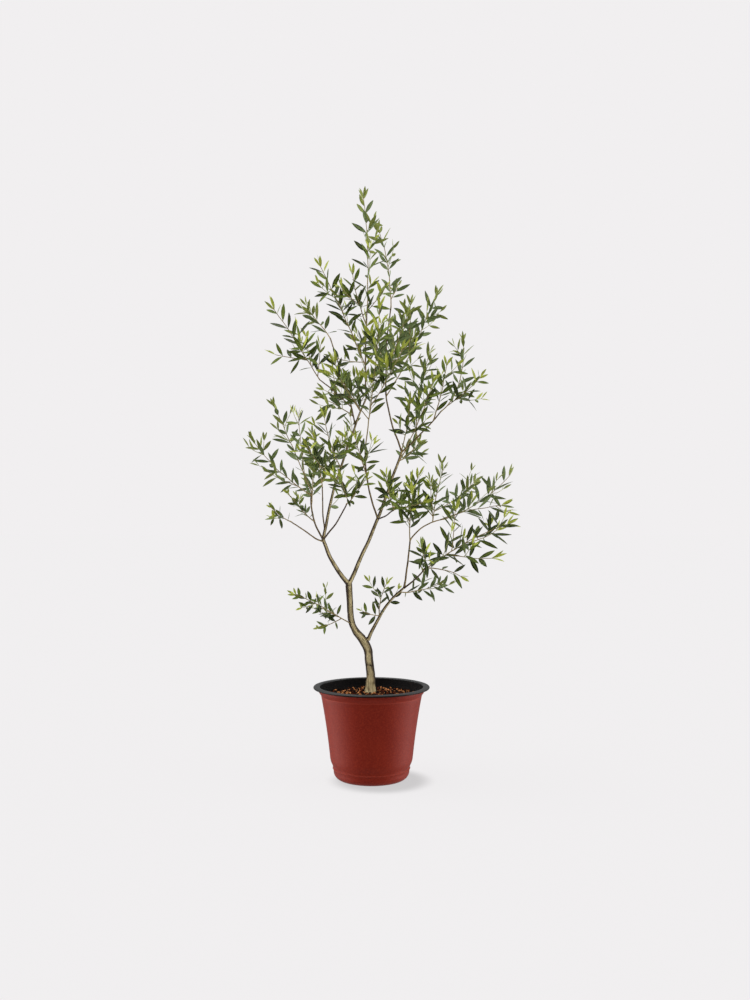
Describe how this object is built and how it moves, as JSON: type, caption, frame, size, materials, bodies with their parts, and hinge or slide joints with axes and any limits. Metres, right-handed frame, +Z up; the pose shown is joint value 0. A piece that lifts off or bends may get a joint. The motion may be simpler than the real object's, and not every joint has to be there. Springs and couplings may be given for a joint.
{
  "type": "potted olive tree",
  "caption": "Young olive tree with a forked slender trunk and an open leafy crown, growing in a round tapered pot with a rolled rim.",
  "frame": {"origin": "middle of the pot's flat underside, on the surface that the pot stands on", "axes": "+Z up along the tree, -Y towards the viewer of the picture, +X to the viewer's right"},
  "size_m": [0.6629, 0.5212, 1.401],
  "materials": {
    "red_plastic": "satin moulded polypropylene, brick red",
    "black_plastic": "satin moulded polypropylene, black",
    "clay_pellets": "loose fired clay pellets, matt orange-brown",
    "trunk_bark": "finely cracked khaki bark",
    "bough_bark": "smooth grey-brown bark",
    "olive_foliage": "narrow leathery leaves, deep green above, silvery below"
  },
  "bodies": {
    "root": {"pot_wall": "red_plastic", "pot_lining": "black_plastic", "growing_medium": "clay_pellets", "trunk": "trunk_bark", "left_bough": "bough_bark", "right_bough": "bough_bark", "low_bough": "bough_bark", "low_riser": "bough_bark", "low_reach": "bough_bark", "low_arm": "bough_bark", "left_leader": "bough_bark", "left_riser": "bough_bark", "left_outrigger": "bough_bark", "left_inner": "bough_bark", "left_prop": "bough_bark", "right_inner": "bough_bark", "right_front": "bough_bark", "right_riser": "bough_bark", "right_crown": "bough_bark", "right_reach": "bough_bark", "high_left": "bough_bark", "far_left": "bough_bark", "crown_leader": "bough_bark", "top_leader": "olive_foliage", "top_second": "olive_foliage", "top_left_inner": "olive_foliage", "top_left": "olive_foliage", "high_left_tip": "olive_foliage", "far_left_tip": "olive_foliage", "left_high": "olive_foliage", "left_mid": "olive_foliage", "left_low": "olive_foliage", "left_tip_upper": "olive_foliage", "left_tip_outer": "olive_foliage", "left_prop_tip": "olive_foliage", "left_small": "olive_foliage", "left_back": "olive_foliage", "outrigger_tip": "olive_foliage", "left_inner_tip": "olive_foliage", "mid_shoot": "olive_foliage", "low_left": "olive_foliage", "low_right_small": "olive_foliage", "low_right_under": "olive_foliage", "low_reach_tip": "olive_foliage", "low_sweep": "olive_foliage", "low_arm_tip": "olive_foliage", "low_arm_side": "olive_foliage", "low_arm_up": "olive_foliage", "low_riser_tip": "olive_foliage", "right_front_tip": "olive_foliage", "right_low_shoot": "olive_foliage", "right_thin": "olive_foliage", "right_mid": "olive_foliage", "right_up": "olive_foliage", "right_tip": "olive_foliage", "right_tip_in": "olive_foliage", "crown_right": "olive_foliage", "crown_back": "olive_foliage", "crown_front": "olive_foliage", "crown_core": "olive_foliage"}
  },
  "joints": []
}
